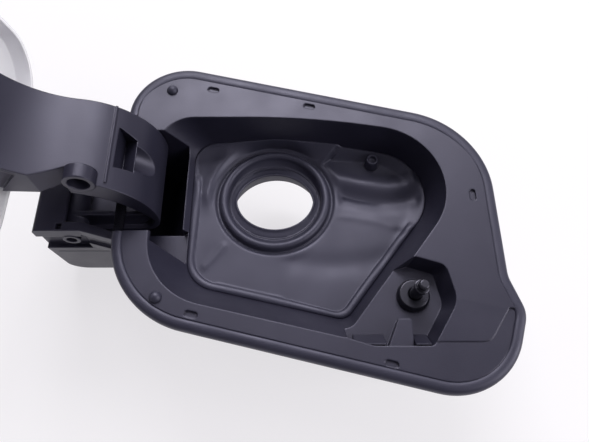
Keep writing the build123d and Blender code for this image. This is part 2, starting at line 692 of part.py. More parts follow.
def pin_clip():
    """Open spring clip in the groove of the hinge pin, against the near wall of the box."""
    mouth = Pos(-CLIP_DIA / 2, 0) * Rectangle(CLIP_DIA, CLIP_MOUTH)
    profile = Circle(CLIP_DIA / 2) - Circle(PIN_GROOVE / 2) - mouth
    return across(profile, BOX_NEAR, BOX_NEAR + CLIP_THICK)


def hinge_spring():
    """Torsion spring round the far end of the hub, with two straight legs."""
    pitch = (HUB_FAR - ARM_FAR - SPRING_WIRE - 2 * SPRING_END) / SPRING_TURNS
    radius = HUB_DIA / 2 + SPRING_GAP + SPRING_WIRE / 2
    start = ARM_FAR + SPRING_END + SPRING_WIRE / 2
    coil = Helix(pitch, pitch * SPRING_TURNS, radius)
    wire = Circle(SPRING_WIRE / 2)
    body = sweep(Plane(origin=coil @ 0, z_dir=coil % 0) * wire, path=coil)
    body += extrude(Plane(origin=coil @ 0, z_dir=-(coil % 0)) * wire, amount=SPRING_LEG)
    body += extrude(Plane(origin=coil @ 1, z_dir=coil % 1) * wire, amount=SPRING_LEG)
    return Pos(PIVOT_X, start, PIVOT_Z) * Rot(-90, 0, 0) * Rot(0, 0, SPRING_TURN) * body


def arm_run(depth):
    """Edges of the gooseneck at a depth in from its outer face, from the hub to the carrier."""
    foot = HEEL_X + depth
    level = LEG_Z + LEG_R + depth
    return [
        Line((foot, 0), (foot, HEEL_Z)),
        CenterArc((HEEL_X + HEEL_R, HEEL_Z), HEEL_R - depth, HALF_TURN, HEEL_ANGLE + HALF_TURN),
        CenterArc((BEND_X, BEND_Z), BEND_R - depth, HEEL_ANGLE, LEG_ANGLE - HEEL_ANGLE),
        CenterArc((LEG_X, LEG_Z), LEG_R + depth, LEG_ANGLE + HALF_TURN, -LEG_ANGLE - HALF_TURN / 2),
        Line((LEG_X, level), (LEG_X + CARRIER_LENGTH, level)),
    ]


def arm_strip():
    """Side profile of the bent plate."""
    outer = arm_run(0)
    inner = arm_run(ARM_PLATE)
    ends = [Line(outer[0] @ 0, inner[0] @ 0), Line(outer[-1] @ 1, inner[-1] @ 1)]
    return make_face(outer + inner + ends)


def rib_inside():
    """Inner edge of a rib along the bend, from the heel to the knee."""
    start = arm_run(ARM_PLATE)[2] @ 0
    return [Line(arm_run(0)[2] @ 0, start), ThreePointArc(start, RIB_MID, RIB_KNEE)]


def long_rib():
    """Side profile of a rib that runs on to the door face."""
    outer = arm_run(0)
    brow = (RIB_TAIL[0], RIB_BROW)
    face = (RIB_TAIL[0], DOOR_RISE)
    end = arm_run(ARM_PLATE)[-1] @ 1
    ends = [Line(RIB_KNEE, RIB_FOOT), Line(RIB_FOOT, brow), Line(brow, face), Line(face, end),
            Line(end, outer[-1] @ 1)]
    return make_face(outer[2:] + rib_inside() + ends)


def short_rib():
    """Side profile of the near rib, which ends in a slanted edge on the leg."""
    bend = arm_run(0)[2]
    leg = CenterArc((LEG_X, LEG_Z), LEG_R, LEG_ANGLE + HALF_TURN, RIB_END_ANGLE - LEG_ANGLE - HALF_TURN)
    ends = [Line(leg @ 1, RIB_TAIL), Line(RIB_TAIL, RIB_KNEE)]
    return make_face([bend, leg] + ends + rib_inside())


def hub_rib():
    """Side profile of the web between the hub and the heel."""
    root = HEEL_X + ARM_PLATE / 2
    return make_face(Polyline((root, 0), (HUB_DIA / 2, 0), (HEEL_X + HEEL_R, HEEL_Z - HEEL_R + ARM_PLATE / 2),
                              (root, HEEL_Z), close=True))


def bend_sector(inner, outer, first, last):
    """Sector of the bend between two radii and two angles."""
    arcs = [CenterArc((BEND_X, BEND_Z), r, first, last - first) for r in (inner, outer)]
    return make_face(arcs + [Line(arcs[0] @ 0, arcs[1] @ 0), Line(arcs[0] @ 1, arcs[1] @ 1)])


def carrier():
    """Plate that the door is screwed to."""
    x0 = PIVOT_X + LEG_X
    near = ARM_NEAR - CARRIER_SIDE
    far = ARM_FAR + CARRIER_SIDE
    corners = [(x0, near), (x0 + CARRIER_LENGTH, near), (x0 + CARRIER_LENGTH, far), (x0, far)]
    return slab([(x, y, CARRIER_R) for x, y in corners], DOOR_FACE - ARM_PLATE, DOOR_FACE)


def carrier_screws():
    """Places of the four screws between the carrier and the door."""
    x0 = PIVOT_X + LEG_X + SCREW_INSET
    x1 = PIVOT_X + LEG_X + CARRIER_LENGTH - SCREW_INSET
    near = ARM_NEAR - CARRIER_SIDE + SCREW_INSET
    far = ARM_FAR + CARRIER_SIDE - SCREW_INSET
    return [(x0, near), (x1, near), (x1, far), (x0, far)]


def bend_point(radius, angle):
    """Point in the side profile at a radius and angle of the bend."""
    return BEND_X + radius * cos(radians(angle)), BEND_Z + radius * sin(radians(angle))


def upright(points):
    """Upright prism through the open arm, from plan points measured from the pivot."""
    face = make_face(Polyline(*[(PIVOT_X + x, y) for x, y in points], close=True))
    return extrude(Pos(0, 0, PIVOT_Z + NOTCH_LOW) * face, amount=NOTCH_HIGH - NOTCH_LOW, dir=(0, 0, 1))


def arm_body():
    """Bent plate with its hub, ribs, ridge, carrier and the shell of the pocket, drawn shut."""
    arm = across(arm_strip(), ARM_NEAR, ARM_FAR) + rod(HUB_DIA, HUB_NEAR, HUB_FAR) + carrier()
    arm += across(short_rib(), ARM_NEAR, ARM_NEAR + ARM_RIB_WIDTH)
    for near in (ARM_NEAR + RIB_RECESS, ARM_FAR - ARM_RIB_WIDTH):
        arm += across(long_rib(), near, near + ARM_RIB_WIDTH) + across(hub_rib(), near, near + ARM_RIB_WIDTH)
    spread = degrees(POCKET_WALL / BEND_R)
    cup = BEND_R - POCKET_DEEP - POCKET_WALL
    shell = bend_sector(cup, BEND_R - ARM_PLATE / 2, SCOOP_TO, POCKET_FROM + spread)
    arm += across(shell, POCKET[0][1] - POCKET_WALL, POCKET[-1][1] + POCKET_WALL)
    ridge = bend_sector(BEND_R - OVER, BEND_R + RIDGE_HIGH, RIDGE_ANGLE, RIDGE_ANGLE + RIDGE_SPAN)
    return arm + across(ridge, ARM_NEAR + ARM_RIB_WIDTH, ARM_FAR)


def arm_notch():
    """Plan points of the cut beside the tube boss, and of the slanted wall along it."""
    slope = NOTCH_DEEP / (NOTCH_TO - NOTCH_FROM)
    reach = ARM_NEAR + slope * (NOTCH_REACH - NOTCH_FROM)
    cut = [(NOTCH_FROM, ARM_NEAR), (NOTCH_FROM, ARM_NEAR - OVER), (NOTCH_TO, ARM_NEAR - OVER),
           (NOTCH_TO, ARM_NEAR + NOTCH_DEEP)]
    wall = [(NOTCH_FROM, ARM_NEAR), (NOTCH_REACH, reach), (NOTCH_REACH, reach + ARM_RIB_WIDTH),
            (NOTCH_FROM, ARM_NEAR + ARM_RIB_WIDTH)]
    return cut, wall


def pocket_cut():
    """Deep pocket in the open arm, with a scoop that runs out of it."""
    bottom = BEND_R - POCKET_DEEP - 2 * POCKET_WALL
    deep = across(bend_sector(bottom, BEND_R + OVER, POCKET_TO, POCKET_FROM), ARM_NEAR, ARM_FAR)
    x0, z0 = bend_point(BEND_R - SCOOP_DEEP + SCOOP_R, POCKET_TO)
    x1, z1 = bend_point(BEND_R + SCOOP_R, SCOOP_TO)
    start = Vector(PIVOT_X + x0, SCOOP_Y, PIVOT_Z + z0)
    run = Vector(x1 - x0, 0, z1 - z0)
    scoop = Plane(origin=start, z_dir=run) * Cylinder(SCOOP_R, run.length + SCOOP_R, align=ON_BASE)
    return (swung_open(deep) & upright(POCKET)) + swung_open(scoop)


def hinge_arm():
    """Gooseneck that carries the door, with its tube boss, pocket, bores and screw holes."""
    tube = bend_point(BEND_R - TUBE_SINK, TUBE_ANGLE)
    tube_near = ARM_NEAR - TUBE_PROUD
    tube_far = tube_near + TUBE_LENGTH
    shut = arm_body()
    shut -= rod(PIN_DIA + 2 * HUB_CLEAR, HUB_NEAR, HUB_FAR)
    shut -= rod(BUSH_DIA, HUB_NEAR, HUB_NEAR + BUSH_LENGTH) + rod(BUSH_DIA, HUB_FAR - BUSH_LENGTH, HUB_FAR)
    for x, y in carrier_screws():
        shut -= Pos(x, y, DOOR_FACE) * Cylinder(SCREW_DIA / 2 + SCREW_PLAY, 4 * ARM_PLATE)
    cut, wall = arm_notch()
    rib = across(short_rib(), ARM_NEAR, ARM_NEAR + NOTCH_DEEP + RIB_RECESS)
    arm = swung_open(shut) - upright(cut) + (upright(wall) & swung_open(rib))
    arm += swung_open(rod(TUBE_DIA, tube_near, tube_far, *tube))
    arm -= swung_open(rod(TUBE_BORE, tube_near - OVER, tube_far - ARM_PLATE / 2, *tube))
    return arm - pocket_cut()


def hinge_bush(end, inwards):
    """Flanged bush pressed into one end of the hub."""
    stop = end + inwards * BUSH_LENGTH
    face = end - inwards * BUSH_FLANGE_THICK
    sleeve = rod(BUSH_DIA, min(end, stop), max(end, stop)) + rod(BUSH_FLANGE, min(end, face), max(end, face))
    bore = rod(PIN_DIA + 2 * PIN_RUN, min(stop, face), max(stop, face))
    return swung_open(sleeve - bore)


def door_panel():
    """Outer door: skin with a turned rim, stiffening ribs and screw bosses."""
    inner = inset(DOOR, DOOR_RIM_WALL)
    skin = slab(DOOR, SKIN_UNDER, SKIN_UNDER + DOOR_SKIN)
    skin = fillet(skin.faces().sort_by(Axis.Z)[-1].edges(), DOOR_EDGE_R)
    rim = slab(DOOR, SKIN_UNDER - DOOR_RIM, SKIN_UNDER)
    rim -= slab(inner, SKIN_UNDER - DOOR_RIM - OVER, SKIN_UNDER + OVER)
    panel = skin + rim + (door_ribs() & slab(inner, FLANGE_TOP, SKIN_UNDER))
    for x, y in carrier_screws():
        panel += Pos(x, y, DOOR_FACE) * Cylinder(DOOR_BOSS_DIA / 2, DOOR_BOSS, align=ON_BASE)
        hole = Cylinder(SCREW_DIA / 2, SCREW_LENGTH - ARM_PLATE, align=ON_BASE)
        panel -= Pos(x, y, DOOR_FACE) * hole
    return swung_open(panel)


def door_ribs():
    """Grid of low ribs under the skin."""
    low = SKIN_UNDER - DOOR_RIB_HIGH
    half = DOOR_RIB / 2
    ribs = [block(x - half, x + half, FLANGE_NEAR * 2, FLANGE_FAR, low, SKIN_UNDER) for x in DOOR_RIBS_X]
    ribs += [block(FLANGE_LEFT, FLANGE_RIGHT, y - half, y + half, low, SKIN_UNDER) for y in DOOR_RIBS_Y]
    return ribs[0] + ribs[1:]


def screw(length):
    """Round-headed screw with a hex socket, head upwards, its seat at the origin."""
    head = Cylinder(SCREW_HEAD / 2, SCREW_HEAD_HIGH, align=ON_BASE)
    socket = extrude(RegularPolygon(SCREW_SOCKET / 2, 6), amount=SCREW_SOCKET_DEEP)
    shank = Pos(0, 0, -length) * Cylinder(SCREW_DIA / 2, length, align=ON_BASE)
    return head + shank - Pos(0, 0, SCREW_HEAD_HIGH - SCREW_SOCKET_DEEP) * socket


def door_screw(x, y):
    """Screw from the carrier into a door boss."""
    return swung_open(Pos(x, y, DOOR_FACE - ARM_PLATE) * Rot(180, 0, 0) * screw(SCREW_LENGTH))


def striker():
    """Socket under the door skin that takes the head of the lock pin."""
    low = SKIN_UNDER - STRIKER_DROP
    x = LOCK_X + (SHELF_DEPTH + DOOR_GAP) * tan(radians(LOCK_LEAN))
    shell = RectangleRounded(STRIKER_LONG, STRIKER_WIDE, STRIKER_R)
    room = RectangleRounded(STRIKER_LONG - 2 * STRIKER_WALL, STRIKER_WIDE - 2 * STRIKER_WALL, STRIKER_R / 2)
    body = extrude(Pos(0, 0, low) * shell, amount=STRIKER_DROP)
    body -= extrude(Pos(0, 0, low + STRIKER_LIP) * room, amount=STRIKER_DROP - STRIKER_LIP - STRIKER_BASE)
    slot = RectangleRounded(STRIKER_SLOT, STRIKER_SLOT_WIDE, STRIKER_R / 2)
    body -= extrude(Pos(0, 0, low - OVER) * slot, amount=STRIKER_LIP + 2 * OVER)
    return swung_open(Pos(x, LOCK_Y, 0) * body)


def door_buffer(x, y):
    """Rubber buffer between the door skin and the flange at the lock side."""
    high = SKIN_UNDER - FLANGE_TOP - BUFFER_LIFT
    body = Pos(x, y, FLANGE_TOP + BUFFER_LIFT) * Cylinder(BUFFER_DIA / 2, high, align=ON_BASE)
    return swung_open(chamfer(body.edges().sort_by(Axis.Z)[0], OVER))


def lock_place():
    """Leaning axis of the lock pin, from the top of the shelf."""
    return Location((LOCK_X, LOCK_Y, SHELF_TOP), (0, LOCK_LEAN, 0))


def leaning(diameter, low, high):
    """Round bar on the lock pin's axis between two heights along it."""
    return lock_place() * Pos(0, 0, low) * Cylinder(diameter / 2, high - low, align=ON_BASE)


def case_place(height):
    """Turned frame of the lock case at a height."""
    turn = radians(CASE_TURN)
    place = (LOCK_X + CASE_OFFSET * sin(turn), LOCK_Y - CASE_OFFSET * cos(turn), height)
    return Location(place, (0, 0, CASE_TURN))


def lock_pin():
    """Sliding lock pin with a stop at its tail and a collared button head."""
    shaft = LOCK_PIN_DIA / 2
    stop = PIN_STOP_DIA / 2
    button = BUTTON_DIA / 2
    shoulder = -PIN_TAIL + PIN_STOP_THICK
    body = turned([
        (0, -PIN_TAIL), (stop, -PIN_TAIL), (stop, shoulder), (shaft, shoulder), (shaft, COLLAR_LOW),
        (COLLAR_DIA / 2, COLLAR_LOW), (COLLAR_DIA / 2, COLLAR_TOP), (PIN_NECK_DIA / 2, COLLAR_TOP),
        (PIN_NECK_DIA / 2, BUTTON_LOW), (button, BUTTON_LOW), (button, PIN_REACH - PIN_ROUND),
        (button - PIN_ROUND, PIN_REACH), (0, PIN_REACH),
    ])
    return lock_place() * body


def pin_spring():
    """Compression spring below the lock pin."""
    high = CHAMBER_SPRING - PIN_SPRING_WIRE
    radius = (LOCK_PIN_DIA + PIN_SPRING_WIRE) / 2
    coil = Helix(high / PIN_SPRING_TURNS, high, radius)
    body = sweep(Plane(origin=coil @ 0, z_dir=coil % 0) * Circle(PIN_SPRING_WIRE / 2), path=coil)
    return lock_place() * Pos(0, 0, PIN_SPRING_WIRE / 2 - PIN_TAIL - CHAMBER_SPRING) * body


def lock_grommet():
    """Rubber collar on the shelf, over the neck of the lock cover and round the pin."""
    radius = GROMMET_DIA / 2
    ring = turned([
        (0, 0), (radius, 0), (radius, GROMMET_HIGH / 2),
        (radius - GROMMET_HIGH / 4, GROMMET_HIGH), (0, GROMMET_HIGH),
    ])
    ring -= Cylinder(NECK_DIA / 2, NECK_RISE, align=ON_BASE)
    ring = Pos(LOCK_X, LOCK_Y, SHELF_TOP) * ring
    return ring - leaning(LOCK_PIN_DIA + 2 * GROMMET_CLEAR, -SHELF_DEPTH, SHELF_DEPTH)


def lock_screw_places():
    """Places of the cover screws in the turned frame of the case."""
    x = CASE_WIDE / 2 - LOCK_SCREW_INSET
    y = CASE_LONG / 2 - LOCK_SCREW_INSET
    return [(x, y), (-x, y), (-x, -y), (x, -y)]


def lock_cover():
    """Cover of the lock case with the neck that passes the shelf and guides the pin."""
    plate = RectangleRounded(CASE_WIDE + 2 * COVER_LAP, CASE_LONG + 2 * COVER_LAP, CASE_R)
    cover = extrude(case_place(CASE_TOP) * plate, amount=COVER_THICK)
    neck_high = SHELF_TOP + NECK_RISE - COVER_TOP
    cover += Pos(LOCK_X, LOCK_Y, COVER_TOP) * Cylinder(NECK_DIA / 2, neck_high, align=ON_BASE)
    cover += Pos(LOCK_X, LOCK_Y, COVER_TOP) * Cylinder(NECK_SHOULDER / 2, COVER_DROP, align=ON_BASE)
    for x, y in lock_screw_places():
        cover -= case_place(COVER_TOP) * Pos(x, y, 0) * Cylinder(SCREW_DIA / 2 + SCREW_PLAY, 4 * COVER_THICK)
    return cover - leaning(LOCK_PIN_DIA + 2 * LOCK_PIN_RUN, -PIN_TAIL, SHELF_DEPTH)


def lock_case():
    """Case of the locking unit: block with the spring chamber, motor drum and plug socket."""
    high = CASE_TOP - CASE_BOTTOM
    case = extrude(case_place(CASE_BOTTOM) * RectangleRounded(CASE_WIDE, CASE_LONG, CASE_R), amount=high)
    drum = Cylinder(MOTOR_DIA / 2, CASE_BOTTOM - BASE_Z, align=ON_BASE)
    drum = fillet(drum.edges().sort_by(Axis.Z)[0], MOTOR_R)
    case += case_place(BASE_Z) * Pos(*MOTOR_AT, 0) * drum + plug()
    for x, y in lock_screw_places():
        hole = Cylinder(SCREW_DIA / 2, LOCK_SCREW_LENGTH - COVER_THICK, align=ON_BASE)
        case -= case_place(COVER_TOP - LOCK_SCREW_LENGTH) * Pos(x, y, 0) * hole
    case -= leaning(LOCK_PIN_DIA + 2 * LOCK_PIN_RUN, -PIN_TAIL, 0)
    shoulder = -PIN_TAIL + PIN_STOP_THICK + CHAMBER_LIFT
    return case - leaning(PIN_STOP_DIA + 2 * CHAMBER_GAP, -PIN_TAIL - CHAMBER_SPRING, shoulder)


def plug():
    """Shroud of the plug socket under the case, open downwards."""
    shroud = Box(PLUG_WIDE, PLUG_HIGH, PLUG_LONG, align=ON_BASE)
    room = Box(PLUG_WIDE - 2 * PLUG_WALL, PLUG_HIGH - 2 * PLUG_WALL, PLUG_LONG, align=ON_BASE)
    return case_place(CASE_BOTTOM - PLUG_LONG) * Pos(*PLUG_AT, 0) * (shroud - room)


def lock_screw(x, y):
    """Screw through the cover into the case."""
    return case_place(COVER_TOP) * Pos(x, y, 0) * screw(LOCK_SCREW_LENGTH)


def save(shapes):
    """Writes one file per piece."""
    os.makedirs("parts", exist_ok=True)
    for name, shape in shapes.items():
        export_step(shape, f"parts/{name}.step")


save({
    "housing": housing(),
    "rim_seal": rim_seal(),
    "neck_seal": neck_seal(),
    "bump_stop_far": bump_stop(*STOP_FAR, FLANGE_TOP),
    "bump_stop_near": bump_stop(*STOP_NEAR, FLANGE_TOP - BAND_DROP),
    "hinge_pin": hinge_pin(),
    "pin_clip": pin_clip(),
    "hinge_spring": hinge_spring(),
    "hinge_arm": hinge_arm(),
    "hinge_bush_near": hinge_bush(HUB_NEAR, 1),
    "hinge_bush_far": hinge_bush(HUB_FAR, -1),
    "door_panel": door_panel(),
    "striker": striker(),
    "lock_pin": lock_pin(),
    "pin_spring": pin_spring(),
    "lock_grommet": lock_grommet(),
    "lock_cover": lock_cover(),
    "lock_case": lock_case(),
})
save({f"door_screw_{i}": door_screw(x, y) for i, (x, y) in enumerate(carrier_screws(), 1)})
save({f"door_buffer_{i}": door_buffer(x, y) for i, (x, y) in enumerate(BUFFERS, 1)})
save({f"lock_screw_{i}": lock_screw(x, y) for i, (x, y) in enumerate(lock_screw_places(), 1)})
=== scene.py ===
from math import acos, atan2, cos, radians, sin, tan
import bmesh
import bpy
from mathutils.kdtree import KDTree
import numpy as np
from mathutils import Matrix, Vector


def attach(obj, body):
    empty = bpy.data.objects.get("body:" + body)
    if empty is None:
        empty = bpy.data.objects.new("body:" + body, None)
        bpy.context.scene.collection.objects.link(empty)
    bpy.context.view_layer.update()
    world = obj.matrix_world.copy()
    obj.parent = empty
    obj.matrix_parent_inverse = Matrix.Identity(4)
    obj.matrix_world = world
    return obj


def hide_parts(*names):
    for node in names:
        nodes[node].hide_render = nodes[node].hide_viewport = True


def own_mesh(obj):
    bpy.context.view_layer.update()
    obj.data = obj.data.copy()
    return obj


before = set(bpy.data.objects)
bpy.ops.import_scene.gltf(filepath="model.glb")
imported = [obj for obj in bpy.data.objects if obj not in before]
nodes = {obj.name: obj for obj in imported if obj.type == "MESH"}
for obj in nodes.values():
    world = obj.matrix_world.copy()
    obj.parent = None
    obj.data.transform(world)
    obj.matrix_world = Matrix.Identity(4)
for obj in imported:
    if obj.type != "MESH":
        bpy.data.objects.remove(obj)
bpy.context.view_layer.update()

# Housing: the pot with its flange, basin, lock shelf and hinge box.
# Injection moulded in black plastic, with a fine eroded grain from the tool on every face.
PLASTIC_BLACK = (0.0120, 0.0114, 0.0220, 1.0)
PLASTIC_DULL = (0.0170, 0.0162, 0.0290, 1.0)
BLUE_SHEEN = (0.82, 0.79, 1.0, 1.0)
SHEEN_LEVEL = 0.6
PLASTIC_ROUGH = (0.38, 0.46)
PLASTIC_GRAIN = 0.00006
# Clouds of tone and sheen: scale, detail, and the middle reach of the noise that is used.
TONE_SCALE, TONE_DETAIL = 34.0, 5.0
CLOUD_SCALE, CLOUD_DETAIL = 55.0, 6.0
CLOUD_LOW, CLOUD_HIGH = 0.3, 0.7
GRAIN_SCALE, GRAIN_DETAIL = 1900.0, 3.0
GRAIN_STRENGTH = 0.6
EDGE_RADIUS = 0.0011
EDGE_SAMPLES = 8


def start_material(name):
    """New node material with its tree and shader."""
    material = bpy.data.materials.new(name)
    material.use_nodes = True
    tree = material.node_tree
    return material, tree, tree.nodes["Principled BSDF"]


def add_node(tree, kind, **inputs):
    """New node of a kind, with its input values set by name."""
    node = tree.nodes.new(kind)
    for name, value in inputs.items():
        node.inputs[name.replace("_", " ")].default_value = value
    return node


def noise_of(tree, scale, detail):
    """Noise that lies still in the object's own coordinates."""
    place = tree.nodes.new("ShaderNodeTexCoord")
    noise = add_node(tree, "ShaderNodeTexNoise", Scale=scale, Detail=detail)
    tree.links.new(place.outputs["Object"], noise.inputs["Vector"])
    return noise.outputs["Fac"]


def ramp(tree, source, low, high):
    """Spreads a 0 to 1 source between two colours, over the middle of its reach."""
    node = tree.nodes.new("ShaderNodeValToRGB")
    node.color_ramp.elements[0].position = CLOUD_LOW
    node.color_ramp.elements[0].color = low
    node.color_ramp.elements[1].position = CLOUD_HIGH
    node.color_ramp.elements[1].color = high
    tree.links.new(source, node.inputs["Fac"])
    return node.outputs["Color"]


def spread(tree, source, low, high):
    """Spreads the middle of a 0 to 1 source between two numbers."""
    node = add_node(tree, "ShaderNodeMapRange")
    node.inputs["From Min"].default_value = CLOUD_LOW
    node.inputs["From Max"].default_value = CLOUD_HIGH
    node.inputs["To Min"].default_value = low
    node.inputs["To Max"].default_value = high
    tree.links.new(source, node.inputs["Value"])
    return node.outputs["Result"]


def grained(tree, shader, edge_radius, scale, depth):
    """Softens the sharp edges and gives the surface a fine raised grain."""
    edge = tree.nodes.new("ShaderNodeBevel")
    edge.samples = EDGE_SAMPLES
    edge.inputs["Radius"].default_value = edge_radius
    bump = add_node(tree, "ShaderNodeBump", Strength=GRAIN_STRENGTH, Distance=depth)
    tree.links.new(noise_of(tree, scale, GRAIN_DETAIL), bump.inputs["Height"])
    tree.links.new(edge.outputs["Normal"], bump.inputs["Normal"])
    tree.links.new(bump.outputs["Normal"], shader.inputs["Normal"])


def moulded(name, dark, dull, rough, grain_depth):
    """Moulded plastic or rubber: cloudy tone, cloudy sheen and a fine grain."""
    material, tree, shader = start_material(name)
    tone = ramp(tree, noise_of(tree, TONE_SCALE, TONE_DETAIL), dark, dull)
    tree.links.new(tone, shader.inputs["Base Color"])
    sheen = spread(tree, noise_of(tree, CLOUD_SCALE, CLOUD_DETAIL), *rough)
    tree.links.new(sheen, shader.inputs["Roughness"])
    shader.inputs["Specular Tint"].default_value = BLUE_SHEEN
    shader.inputs["Specular IOR Level"].default_value = SHEEN_LEVEL
    grained(tree, shader, EDGE_RADIUS, GRAIN_SCALE, grain_depth)
    return material


def finish_nodes(material, *names):
    """Gives one material to every slot of the named nodes."""
    for name in names:
        mesh = nodes[name].data
        mesh.materials.clear()
        mesh.materials.append(material)


moulded_black = moulded("moulded_black", PLASTIC_BLACK, PLASTIC_DULL, PLASTIC_ROUGH, PLASTIC_GRAIN)
finish_nodes(moulded_black, "housing")

# Soft lip round the edge of the flange.
# Black thermoplastic rubber, a little bluer than the housing, moulded on to the flange's edge: a crowned
# band with a fine groove along the hard flange, broader and lapped over it along the far side, and open
# at the hinge where the arm passes.
MM = 0.001
RUBBER_BLACK = (0.0200, 0.0195, 0.0340, 1.0)
RUBBER_DULL = (0.0270, 0.0260, 0.0430, 1.0)
RUBBER_ROUGH = (0.42, 0.55)
RUBBER_GRAIN = 0.00002
LIP_HINGE_X = -84.5
LIP_HINGE_REACH = 0.5
LIP_CORNERS = [(LIP_HINGE_X, -74.0, 52.0), (111.31, -120.65, 36.0), (126.5, -75.0, 15.0), (120.0, -56.0, 15.0),
               (120.0, 35.28, 52.0), (LIP_HINGE_X, 84.0, 32.0)]
CORNER_STEPS = 25
LIP_COUNT = 480
LIP_ENDS = (-30.8, 31.0)
LIP_NEAR_DROP = 0.7
LIP_NEAR_FACING = (0.3, 0.8)
LIP_OVERLAP = 1.06
LIP_FAR_WIDER = 0.42
LIP_FAR_LIFT = 0.5
LIP_FAR_FACING = (-0.1, 0.97)
LIP_TOP_ZONE = (54.0, 55.5)
LIP_START_RADIUS = 0.1
LIP_SMOOTH = 40.0
MERGE_GAP = 0.000002
# Section of the lip: how far in from its outer edge, and height.
LIP_SECTION = [
    (0.55, 50.3), (0.15, 50.6), (0.0, 51.2), (0.0, 52.4), (0.05, 53.4), (0.3, 54.2), (0.8, 54.95),
    (1.5, 55.5), (2.4, 55.85), (3.3, 56.0), (4.2, 55.95), (4.85, 55.75), (5.2, 55.5), (5.38, 55.25),
    (5.45, 54.9), (5.45, 53.7), (5.2, 53.3), (3.6, 53.1), (2.4, 52.6), (1.8, 51.8), (1.6, 50.8), (1.2, 50.3)]


def rounded_outline(corners, count):
    """Points evenly spaced along a closed outline with rounded corners."""
    path = []
    for index, (x, y, radius) in enumerate(corners):
        here = np.array((x, y))
        before = np.array(corners[index - 1][:2]) - here
        after = np.array(corners[(index + 1) % len(corners)][:2]) - here
        before = before / np.linalg.norm(before)
        after = after / np.linalg.norm(after)
        half = acos(float(before @ after)) / 2
        middle = here + (before + after) / np.linalg.norm(before + after) * radius / sin(half)
        first = here + before * radius / tan(half) - middle
        last = here + after * radius / tan(half) - middle
        turn = atan2(first[0] * last[1] - first[1] * last[0], float(first @ last))
        for step in np.linspace(0.0, 1.0, CORNER_STEPS):
            c, s = cos(turn * step), sin(turn * step)
            path.append(middle + np.array((c * first[0] - s * first[1], s * first[0] + c * first[1])))
    path = np.array(path + path[:1])
    run = np.concatenate(([0.0], np.cumsum(np.linalg.norm(np.diff(path, axis=0), axis=1))))
    at = np.linspace(0.0, run[-1], count, endpoint=False)
    return np.stack((np.interp(at, run, path[:, 0]), np.interp(at, run, path[:, 1])), axis=1)


def eased(value, low, high):
    """Smooth step from 0 at low to 1 at high."""
    part = np.clip((value - low) / (high - low), 0.0, 1.0)
    return part * part * (3.0 - 2.0 * part)


def pull_rings(piece, rings):
    """Extrudes a piece's selected rim once for each further ring, and sets each new point in its place."""
    bpy.ops.object.mode_set(mode="EDIT")
    bpy.ops.mesh.select_all(action="SELECT")
    for last, ring in zip(rings, rings[1:]):
        bpy.ops.mesh.extrude_edges_move()
        found = KDTree(len(last))
        for index, place in enumerate(last):
            found.insert(place, index)
        found.balance()
        shell = bmesh.from_edit_mesh(piece.data)
        for vertex in [v for v in shell.verts if v.select]:
            vertex.co = ring[found.find(vertex.co)[1]]
        bmesh.update_edit_mesh(piece.data)


lip_line = rounded_outline(LIP_CORNERS, LIP_COUNT)
lip_way = np.roll(lip_line, -1, axis=0) - np.roll(lip_line, 1, axis=0)
lip_out = np.stack((lip_way[:, 1], -lip_way[:, 0]), axis=1) / np.linalg.norm(lip_way, axis=1)[:, None]
at_hinge = lip_line[:, 0] < LIP_HINGE_X + LIP_HINGE_REACH
kept = ~(at_hinge & (lip_line[:, 1] > LIP_ENDS[0]) & (lip_line[:, 1] < LIP_ENDS[1]))
lip_line = np.concatenate(([(LIP_HINGE_X, LIP_ENDS[0])], lip_line[kept], [(LIP_HINGE_X, LIP_ENDS[1])]))
lip_out = np.concatenate(([(-1.0, 0.0)], lip_out[kept], [(-1.0, 0.0)]))
lip_drop = LIP_NEAR_DROP * eased(-lip_out[:, 1], *LIP_NEAR_FACING)
lip_far = eased(lip_out[:, 1], *LIP_FAR_FACING)
lip_wide = LIP_OVERLAP + LIP_FAR_WIDER * lip_far
lip_lift = LIP_FAR_LIFT * lip_far
lip_rings = [np.column_stack((lip_line - lip_out * (into * lip_wide)[:, None],
                              high - lip_drop + lip_lift * eased(high, *LIP_TOP_ZONE))) * MM
             for into, high in LIP_SECTION]
bpy.ops.object.select_all(action="DESELECT")
bpy.ops.mesh.primitive_circle_add(vertices=len(lip_line), radius=LIP_START_RADIUS)
soft_lip = bpy.context.object
soft_lip.name = "soft_lip"
for vertex, place in zip(soft_lip.data.vertices, lip_rings[0]):
    vertex.co = place
bpy.ops.object.mode_set(mode="EDIT")
shell = bmesh.from_edit_mesh(soft_lip.data)
shell.verts.ensure_lookup_table()
closing = [edge for edge in shell.edges if abs(edge.verts[0].index - edge.verts[1].index) > 1]
bmesh.ops.delete(shell, geom=closing, context="EDGES")
bmesh.update_edit_mesh(soft_lip.data)
pull_rings(soft_lip, lip_rings + lip_rings[:1])
bpy.ops.mesh.select_all(action="SELECT")
bpy.ops.mesh.remove_doubles(threshold=MERGE_GAP)
bpy.ops.mesh.fill_holes(sides=0)
bpy.ops.mesh.select_all(action="SELECT")
bpy.ops.mesh.normals_make_consistent(inside=False)
bpy.ops.object.mode_set(mode="OBJECT")
bpy.ops.object.shade_smooth_by_angle(angle=radians(LIP_SMOOTH))
rubber_black = moulded("rubber_black", RUBBER_BLACK, RUBBER_DULL, RUBBER_ROUGH, RUBBER_GRAIN)
soft_lip.data.materials.append(rubber_black)
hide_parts("rim_seal")
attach(soft_lip, "housing_body")

# Two bump stops at the hinge side of the flange.
# Small domed buttons of the same rubber, pushed through holes in the flange.
finish_nodes(rubber_black, "bump_stop_far", "bump_stop_near")

